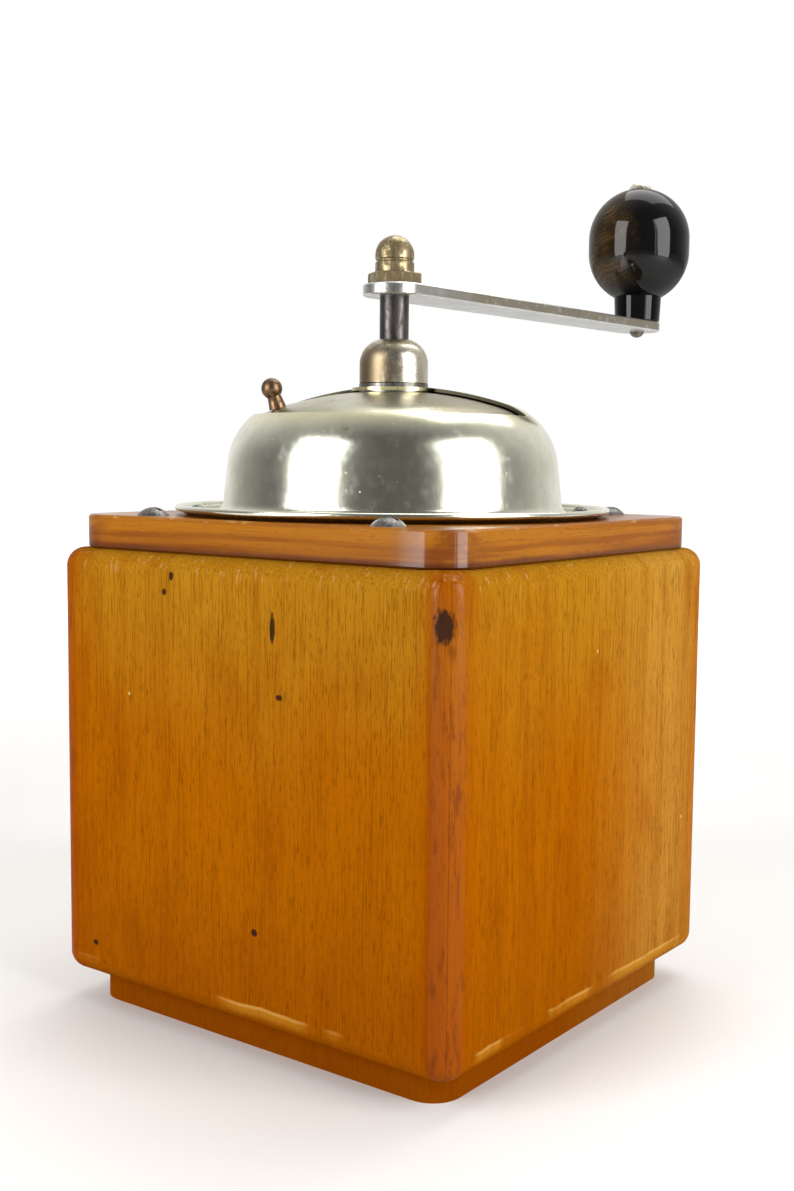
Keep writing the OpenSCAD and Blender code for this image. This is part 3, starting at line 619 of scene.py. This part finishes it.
def fouled(k, low, high, away=None):
    """Dirt between two heights, the more of it between two distances from the shaft if given."""
    dirt = k.step(k.noise((4, 4, 4), detail=4, rough=0.65, shift=9), 0.30, 0.62)
    dirt = k.calc("ADD", 0.55, dirt, clamp=True)
    level = k.both(k.step(k.z, low - 0.1, low + 0.2), k.step(k.z, high + 0.2, high - 0.1))
    if away:
        reach = k.math_vector("LENGTH", k.math_vector("MULTIPLY", k.place, (1, 1, 0)))
        level = k.both(level, k.calc("ADD", 0.45, k.step(reach, *away), clamp=True))
    return k.both(level, dirt)


def cut_edge(k, turn, end):
    """1 on an edge that runs across the shaft in a direction, up to a distance from it."""
    cos = math.cos(math.radians(turn))
    sin = math.sin(math.radians(turn))
    across = k.calc("ABSOLUTE", k.math_vector("DOT_PRODUCT", k.place, (-sin, cos, 0)))
    along = k.calc("ABSOLUTE", k.math_vector("DOT_PRODUCT", k.place, (cos, sin, 0)))
    return k.both(k.step(across, 0.35, 0.15), k.step(along, end, end - 0.5))


def nickel(name, bright, dull, tarnish, rough_low, rough_range, tarnish_from,
           stain=None, foul=None, foul_away=None, straw=None, cut=None):
    """Old nickel plate: warm, finely scratched, specked, with brown tarnish in patches.

    A stain is one large tarnished place, given by its centre and size. Between the two heights
    of foul the plate is tarnished all over, the more so between the two distances from the shaft
    of foul_away. Between the two heights of straw it turns yellow. A cut is an edge across the
    shaft, given by its direction in degrees and its reach, with a painted shadow along it."""
    k = Look(name)
    cloud = k.noise((11, 11, 11), detail=4, rough=0.6)
    colour = k.mix(k.step(cloud, 0.35, 0.7), bright, dull)
    if straw:
        colour = k.mix(k.step(k.z, *straw), colour, (0.64, 0.585, 0.33))
    patch = k.noise((6, 6, 5), detail=4, rough=0.65, shift=3)
    patch = k.step(patch, tarnish_from, tarnish_from + 0.14)
    if stain:
        patch = k.calc("MAXIMUM", patch, k.spot(*stain, edge=0.5))
    if foul:
        patch = k.calc("MAXIMUM", patch, fouled(k, *foul, foul_away))
    colour = k.tint(colour, patch, 0.8, tarnish)
    if cut:
        # Painted shadow: the cut edge is made near black for the shaded gap between the dome and the lid.
        colour = k.mix(cut_edge(k, *cut), colour, (0.025, 0.022, 0.014))
    speck = k.specks((1.9, 1.9, 1.9), 0.15, 0.07, 0.74, 0.78)
    colour = k.tint(colour, speck, 0.65, (0.12, 0.085, 0.05))
    smudge = k.step(k.noise((2.6, 2.6, 3.4), detail=5, rough=0.75, shift=12), 0.46, 0.70)
    k.bump(k.noise((0.5, 0.5, 4), shift=6), 0.003)
    k.bump(k.calc("MULTIPLY", speck, -1.0), 0.03)
    rough = k.grow(rough_low, k.calc("MAXIMUM", cloud, patch), rough_range)
    rough = k.grow(rough, k.calc("MAXIMUM", speck, smudge), 0.07)
    return k.finish(colour, rough, metal=1.0)


def metal(name, base, worn, rust, rough, rust_from=0.58):
    """Plain or darkened metal with rubbed places and a little corrosion."""
    k = Look(name)
    grain = k.noise((0.6, 0.6, 5), detail=4, rough=0.6)
    colour = k.mix(k.step(grain, 0.42, 0.66), base, worn)
    spot = k.noise((2.4, 2.4, 2.4), detail=4, rough=0.65, shift=5)
    spot = k.step(spot, rust_from, rust_from + 0.12)
    colour = k.tint(colour, spot, 0.75, rust)
    k.bump(grain, 0.004)
    k.bump(spot, 0.01)
    return k.finish(colour, k.grow(rough, spot, 0.25), metal=0.9)


def cast_iron():
    """Rough dark iron with brown coffee dust in places."""
    k = Look("cast_iron")
    grit = k.noise((0.8, 0.8, 0.8), detail=5, rough=0.7)
    colour = k.mix(k.step(grit, 0.35, 0.7), (0.045, 0.045, 0.047), (0.11, 0.105, 0.10))
    dust = k.step(k.noise((9, 9, 9), detail=4, shift=2), 0.5, 0.7)
    colour = k.tint(colour, dust, 0.5, (0.09, 0.05, 0.03))
    k.bump(grit, 0.15)
    return k.finish(colour, k.grow(0.5, grit, 0.25), metal=0.7)


# Which material each piece has

wood = case_wood()
board = board_wood()
drawer = bare_wood()
black = black_wood()
plate = nickel(
    "nickel", bright=(0.71, 0.71, 0.60), dull=(0.60, 0.60, 0.49), tarnish=(0.34, 0.27, 0.17),
    rough_low=0.12, rough_range=0.14, tarnish_from=0.64,
    foul=(BOARD_TOP - BEAD_R, BOARD_TOP + SHEET + 0.3),
    straw=(BOARD_TOP + 21, BOARD_TOP + 31),
    cut=(OPENING_TURN, OPENING_R),
)
lid_plate = nickel(
    "lid_nickel", bright=(0.46, 0.45, 0.35), dull=(0.36, 0.345, 0.25), tarnish=(0.19, 0.16, 0.095),
    rough_low=0.24, rough_range=0.14, tarnish_from=0.6,
    stain=((-30, 7, BOARD_TOP + 33), (22, 22, 14)),
)
bell_plate = nickel(
    "bell_nickel", bright=(0.61, 0.57, 0.46), dull=(0.44, 0.39, 0.28), tarnish=(0.13, 0.08, 0.03),
    rough_low=0.18, rough_range=0.2, tarnish_from=0.54,
    stain=((1.5, 8.2, BOARD_TOP + BOSS_Z + 5), (9.5, 6.5, 9.5)),
)
arm_plate = nickel(
    "arm_nickel", bright=(0.72, 0.73, 0.73), dull=(0.58, 0.58, 0.57), tarnish=(0.24, 0.195, 0.115),
    rough_low=0.2, rough_range=0.16, tarnish_from=0.66,
    foul=(ARM_Z + 0.3, ARM_TOP - 0.3),
    foul_away=(6, 50),
)
pin_plate = nickel(
    "pin_nickel", bright=(0.76, 0.72, 0.62), dull=(0.62, 0.57, 0.46), tarnish=(0.03, 0.025, 0.015),
    rough_low=0.2, rough_range=0.2, tarnish_from=0.62,
    foul=(0, ARM_Z),
)
dark_steel = metal(
    "dark_steel", base=(0.10, 0.095, 0.09), worn=(0.20, 0.19, 0.18), rust=(0.08, 0.04, 0.025),
    rough=0.34,
)
shaft_steel = metal(
    "shaft_steel", base=(0.05, 0.046, 0.045), worn=(0.11, 0.10, 0.096), rust=(0.06, 0.03, 0.018),
    rough=0.34,
)
plain_steel = metal(
    "plain_steel", base=(0.40, 0.39, 0.37), worn=(0.55, 0.54, 0.51), rust=(0.20, 0.12, 0.07),
    rough=0.3, rust_from=0.62,
)
iron = cast_iron()
brass = metal(
    "brass", base=(0.42, 0.31, 0.13), worn=(0.60, 0.48, 0.24), rust=(0.20, 0.13, 0.06),
    rough=0.26, rust_from=0.55,
)
nut_brass = metal(
    "nut_brass", base=(0.22, 0.175, 0.09), worn=(0.38, 0.32, 0.19), rust=(0.11, 0.075, 0.04),
    rough=0.34, rust_from=0.46,
)
dark_brass = metal(
    "dark_brass", base=(0.13, 0.075, 0.04), worn=(0.24, 0.15, 0.08), rust=(0.06, 0.035, 0.022),
    rough=0.36, rust_from=0.5,
)

LOOKS = {
    wood: ["side_wall_left", "side_wall_right", "back_wall", "front_wall", "drawer_front", "base_plinth"],
    drawer: ["drawer_side_left", "drawer_side_right", "drawer_back", "drawer_bottom"],
    black: ["drawer_knob"],
    pin_plate: ["knob_pin"],
    dark_steel: ["board_screws", "base_screws", "flange_screws", "mill_screws", "ring_screws",
                 "bridge_screws", "drawer_knob_screw", "burr_pin", "collar_washer"],
    shaft_steel: ["drive_shaft"],
    plain_steel: ["lid_washer", "burr_ring", "burr_cone", "lower_bridge", "thrust_ball", "adjust_screw"],
    iron: ["mill_body"],
    brass: ["upper_bush", "lower_bearing", "adjust_wheel"],
    dark_brass: ["lid_knob"],
}
for look, names in LOOKS.items():
    for name in names:
        node = frame["nodes"][name]
        node.data.materials.clear()
        node.data.materials.append(look)
        smooth(node.data)


# Pieces with finer shapes than the CAD mesh

def crown(set_in, radii):
    """Points of the hopper's crown at these distances from the shaft, set in from its face."""
    return [(r, CROWN_Z + math.sqrt((CROWN_R - set_in)**2 - r**2)) for r in radii]


def crown_end(set_in):
    """Where the crown passes into the shoulder."""
    return (CROWN_R - set_in) * math.sin(math.radians(CROWN_TILT))


def shoulder(set_in, start, end, steps):
    """Points of the hopper's shoulder between two angles, after the first, set in from its face."""
    return arc(SHOULDER_C, SHOULDER_Z, SHOULDER_R - set_in, start, end, steps)[1:]


def shoulder_turn(set_in, radius):
    """The angle at which the shoulder is this far from the shaft."""
    return math.degrees(math.acos((radius - SHOULDER_C) / (SHOULDER_R - set_in)))


def hopper_dome():
    """Boss, crown, shoulder, wall, flange and beaded rim, with half of the crown cut out."""
    cut_turn = shoulder_turn(0, OPENING_R)
    rows = [(BUSH_BORE_R, BOSS_Z), (BOSS_R, BOSS_Z)]
    cut_from = len(rows)
    rows += crown(0, [OPENING_HUB] + spread(CROWN_FROM_R, crown_end(0), 10))
    rows += shoulder(0, 90 - CROWN_TILT, cut_turn, 6)
    cut_to = len(rows) - 1
    rows += shoulder(0, cut_turn, WALL_TAPER, 14)
    slope = math.tan(math.radians(WALL_TAPER))
    lean = 1 / math.cos(math.radians(WALL_TAPER))
    foot_r = SHOULDER_C + SHOULDER_R * lean + SHOULDER_Z * slope
    fillet_z = SHEET + FILLET
    fillet_r = foot_r - fillet_z * slope + FILLET * lean
    bend = arc(fillet_r, fillet_z, FILLET, 180 + WALL_TAPER, 270, 10)
    wall_top = Vector(rows[-1])
    rows += [tuple(wall_top.lerp(Vector(bend[0]), i / 4)) for i in range(1, 4)]
    rows += bend
    rim_r = FLANGE_R - BEAD_R
    rows += [(r, SHEET) for r in spread(fillet_r, rim_r - RIM_RISE, 4)[1:]]
    rows += [(rim_r, BEAD_Z + SHEET / 2)]

    def keep(i, j):
        opened = OPENING_TURN <= j < OPENING_TURN + 180
        return not (opened and cut_from <= i < cut_to)

    bm = bmesh.new()
    spun_sheet(bm, rows, SHEET, BOARD_TOP, keep)
    lathe(bm, arc(rim_r, BEAD_Z, BEAD_R, 0, 360, 16), BOARD_TOP, segments=360)
    piece("hopper_dome_look", bm, "hopper_dome", "housing", plate)


def hopper_lid():
    """A ring round the bush and somewhat more than half of a crown, below the dome."""
    hub = [LID_BORE_R, LID_HUB_R]
    rows = crown(LID_SET_IN, hub + [OPENING_HUB] + spread(CROWN_FROM_R, crown_end(LID_SET_IN), 10))
    rows += shoulder(LID_SET_IN, 90 - CROWN_TILT, shoulder_turn(LID_SET_IN, LID_R), 8)

    def keep(i, j):
        covered = OPENING_TURN - LID_OVERLAP <= j < OPENING_TURN + 180 + LID_OVERLAP
        return i < len(hub) or covered

    bm = bmesh.new()
    spun_sheet(bm, rows, LID_SHEET, BOARD_TOP, keep)
    piece("hopper_lid_look", bm, "hopper_lid", "lid", lid_plate)


def bell_collar():
    """A bell with a bore for the shaft and a wider one below for the bush."""
    round_r = BELL_R - BELL_ROUND
    top_turn = math.degrees(math.acos((SHAFT_BORE_R - round_r) / BELL_ROUND))
    profile = [(BUSH_BORE_R, 0), (BELL_R - BELL_CHAMFER, 0), (BELL_R, BELL_CHAMFER), (BELL_R, BELL_SIDE_Z)]
    profile += arc(round_r, BELL_H - BELL_ROUND, BELL_ROUND, 0, top_turn, 20)
    profile += [(SHAFT_BORE_R, BELL_SEAT_Z + BELL_SEAT_RISE), (BUSH_BORE_R, BELL_SEAT_Z), (BUSH_BORE_R, 0)]
    bm = bmesh.new()
    lathe(bm, profile, BELL_Z)
    piece("bell_collar_look", bm, "bell_collar", "housing", bell_plate)


def cap_nut():
    """A hexagon with a grooved round cap; the cap's profile starts and ends close to the axis."""
    corner = NUT_FLATS / 2 / math.cos(math.radians(30))
    turns = [CRANK_ANGLE + math.radians(60 * i) for i in range(6)]
    hexagon = [(corner * math.cos(t), corner * math.sin(t)) for t in turns]
    near_axis = 0.01
    near_top = 89.9
    profile = [(near_axis, NUT_HEX_H - NUT_SINK), (NUT_R, NUT_HEX_H - NUT_SINK)]
    profile += [
        (NUT_R, NUT_GROOVE_Z - NUT_GROOVE_HALF),
        (NUT_R - NUT_GROOVE_DEPTH, NUT_GROOVE_Z - NUT_GROOVE_FLOOR),
        (NUT_R - NUT_GROOVE_DEPTH, NUT_GROOVE_Z + NUT_GROOVE_FLOOR),
        (NUT_R, NUT_GROOVE_Z + NUT_GROOVE_HALF),
    ]
    profile += arc(0, NUT_H - NUT_R, NUT_R, 0, near_top, 18)
    bm = bmesh.new()
    prism(bm, hexagon, ARM_TOP, ARM_TOP + NUT_HEX_H, NUT_CHAMFER)
    lathe(bm, profile, ARM_TOP)
    piece("cap_nut_look", bm, "cap_nut", "crank", nut_brass)


def crank_arm():
    """A flat bar with round ends, tapering from the shaft to the knob."""
    hub = arc(0, 0, ARM_HUB, 90, 270, 32)
    end = arc(CRANK_L, 0, ARM_END, -90, 90, 32)
    turn = Matrix.Rotation(CRANK_ANGLE, 2)
    outline = [tuple(turn @ Vector(point)) for point in hub + end]
    bm = bmesh.new()
    prism(bm, outline, ARM_Z, ARM_TOP, ARM_CHAMFER)
    piece("crank_arm_look", bm, "crank_arm", "crank", arm_plate)


def crank_knob():
    """A bored ball on a neck; the ball is two half balls with a short straight side between them."""
    low = -math.degrees(math.acos(KNOB_NECK_R / KNOB_R))
    high = math.degrees(math.acos(KNOB_TOP_R / KNOB_R))
    foot_r = KNOB_NECK_R - KNOB_NECK_TAPER
    profile = [
        (KNOB_BORE_R, KNOB_LIFT),
        (foot_r - KNOB_CHAMFER, KNOB_LIFT),
        (foot_r, KNOB_LIFT + KNOB_CHAMFER),
    ]
    profile += arc(0, KNOB_BALL_Z - KNOB_END_Z, KNOB_R, low, 0, 24)
    profile += arc(0, KNOB_BALL_Z + KNOB_END_Z, KNOB_R, 0, high, 24)
    profile += [(KNOB_BORE_R, profile[-1][1])]
    bm = bmesh.new()
    lathe(bm, profile, ARM_TOP, KNOB_PLACE)
    piece("crank_knob_look", bm, "crank_knob", "knob", black)


def top_board():
    """A board with round corners and a round hole below the hopper."""
    outline = round_rect(BOARD_HALF_X, BOARD_HALF_Y, BOARD_CORNER)
    bm = bmesh.new()
    prism(bm, outline, BOARD_BOTTOM, BOARD_TOP, BOARD_CHAMFER, BOARD_HOLE_R)
    piece("top_board_look", bm, "top_board", "housing", board)


hopper_dome()
hopper_lid()
bell_collar()
cap_nut()
crank_arm()
crank_knob()
top_board()


# Floor, light and camera; places and lengths here are in metres, the floor's fade in millimetres

BACKGROUND = (1.0, 1.0, 1.0)
FLOOR_SIZE = 8.0
FLOOR_FADE = (300, 900)
FLOOR_GLOW = 0.62
CAMERA_PLACE = Vector((-0.2394, 0.3159, 0.1490))
CAMERA_FORWARD = Vector((0.5983, -0.7956, -0.0955)).normalized()
CAMERA_ROLL = math.radians(0.546)
CAMERA_LENS = 43.23
CAMERA_LEVEL = Vector((CAMERA_FORWARD.x, CAMERA_FORWARD.y, 0)).normalized()
UP = Vector((0, 0, 1))
LIGHT_TARGET = Vector((0, 0, 0.11))
SIDE_LIGHT = {"rise": 19, "reach": 0.95, "height": 0.85}


def floor():
    """A pale floor that keeps the shadow and passes into the background further off."""
    k = Look("floor")
    tone = k.step(k.noise((300, 300, 300), detail=3), 0.35, 0.65)
    colour = k.mix(tone, (0.71, 0.705, 0.69), (0.74, 0.735, 0.72))
    k.bump(k.noise((3, 3, 3), detail=3), 0.03)
    material = k.finish(colour, 0.6, specular=0.2)
    away = k.step(k.math_vector("LENGTH", k.place), *FLOOR_FADE)
    path = k.tree.nodes.new("ShaderNodeLightPath")
    k.put(k.shader.inputs["Emission Color"], (*BACKGROUND, 1.0))
    k.put(k.shader.inputs["Emission Strength"], k.both(away, path.outputs["Is Camera Ray"], FLOOR_GLOW))
    bpy.ops.mesh.primitive_plane_add(size=FLOOR_SIZE, location=(0, 0, 0))
    plane = bpy.context.object
    plane.name = "floor"
    plane.data.materials.append(material)


def camera():
    """The photo's camera, turned a little about its own axis."""
    right = CAMERA_FORWARD.cross(UP).normalized()
    up = right.cross(CAMERA_FORWARD)
    turned = right * math.cos(CAMERA_ROLL) + up * math.sin(CAMERA_ROLL)
    upright = turned.cross(CAMERA_FORWARD)
    data = bpy.data.cameras.new("camera")
    data.lens = CAMERA_LENS
    data.sensor_width = 36.0
    data.clip_start = 0.01
    made = bpy.data.objects.new("camera", data)
    axes = Matrix((turned, upright, -CAMERA_FORWARD)).transposed()
    made.matrix_world = Matrix.Translation(CAMERA_PLACE) @ axes.to_4x4()
    bpy.context.scene.collection.objects.link(made)
    bpy.context.scene.camera = made


def softbox(name, side, width, power, rise, reach, height):
    """A large soft light; side is the angle from the camera's direction, to its left if negative."""
    towards = Matrix.Rotation(math.radians(side), 3, "Z") @ -CAMERA_LEVEL
    place = LIGHT_TARGET + towards * reach * math.cos(math.radians(rise))
    place.z += reach * math.sin(math.radians(rise))
    data = bpy.data.lights.new(name, "AREA")
    data.shape = "RECTANGLE"
    data.size = width
    data.size_y = height
    data.energy = power
    made = bpy.data.objects.new(name, data)
    made.location = place
    made.rotation_euler = (place - LIGHT_TARGET).to_track_quat("Z", "Y").to_euler()
    bpy.context.scene.collection.objects.link(made)


def world():
    """A bright surround, darker on the camera's side and to the left; the camera sees it white."""
    made = bpy.data.worlds.new("studio")
    bpy.context.scene.world = made
    made.use_nodes = True
    tree = made.node_tree
    tree.nodes.clear()
    coords = tree.nodes.new("ShaderNodeTexCoord")

    def along(direction, low, high, fall):
        """Falls from 1 by the given share as the direction of view turns this way."""
        dot = tree.nodes.new("ShaderNodeVectorMath")
        dot.operation = "DOT_PRODUCT"
        dot.inputs[1].default_value = direction
        tree.links.new(coords.outputs["Generated"], dot.inputs[0])
        shade = tree.nodes.new("ShaderNodeMapRange")
        shade.interpolation_type = "SMOOTHSTEP"
        shade.inputs["From Min"].default_value = low
        shade.inputs["From Max"].default_value = high
        shade.inputs["To Min"].default_value = 1.0
        shade.inputs["To Max"].default_value = 1.0 - fall
        tree.links.new(dot.outputs["Value"], shade.inputs["Value"])
        return shade.outputs["Result"]

    front_and_down = -0.92 * CAMERA_LEVEL - 0.39 * UP
    left = UP.cross(CAMERA_LEVEL)
    strength = tree.nodes.new("ShaderNodeMath")
    strength.operation = "MULTIPLY"
    tree.links.new(along(front_and_down, -0.95, 0.30, fall=0.88), strength.inputs[0])
    tree.links.new(along(left, 0.45, 0.98, fall=0.50), strength.inputs[1])
    surround = tree.nodes.new("ShaderNodeBackground")
    surround.inputs["Color"].default_value = (1.0, 0.985, 0.96, 1.0)
    tree.links.new(strength.outputs[0], surround.inputs["Strength"])
    seen = tree.nodes.new("ShaderNodeBackground")
    seen.inputs["Color"].default_value = (*BACKGROUND, 1.0)
    path = tree.nodes.new("ShaderNodeLightPath")
    blend = tree.nodes.new("ShaderNodeMixShader")
    tree.links.new(path.outputs["Is Camera Ray"], blend.inputs["Fac"])
    tree.links.new(surround.outputs[0], blend.inputs[1])
    tree.links.new(seen.outputs[0], blend.inputs[2])
    out = tree.nodes.new("ShaderNodeOutputWorld")
    tree.links.new(blend.outputs[0], out.inputs["Surface"])


floor()
camera()
softbox("right_softbox", side=56, width=0.52, power=11.2, **SIDE_LIGHT)
softbox("left_softbox", side=-54, width=0.50, power=10.8, **SIDE_LIGHT)
softbox("strip_light", side=36, width=0.06, power=0.45, **SIDE_LIGHT)
softbox("top_light", side=150, width=0.9, power=7.0, rise=62, reach=1.2, height=0.9)
world()
bpy.context.scene.view_settings.view_transform = "Standard"
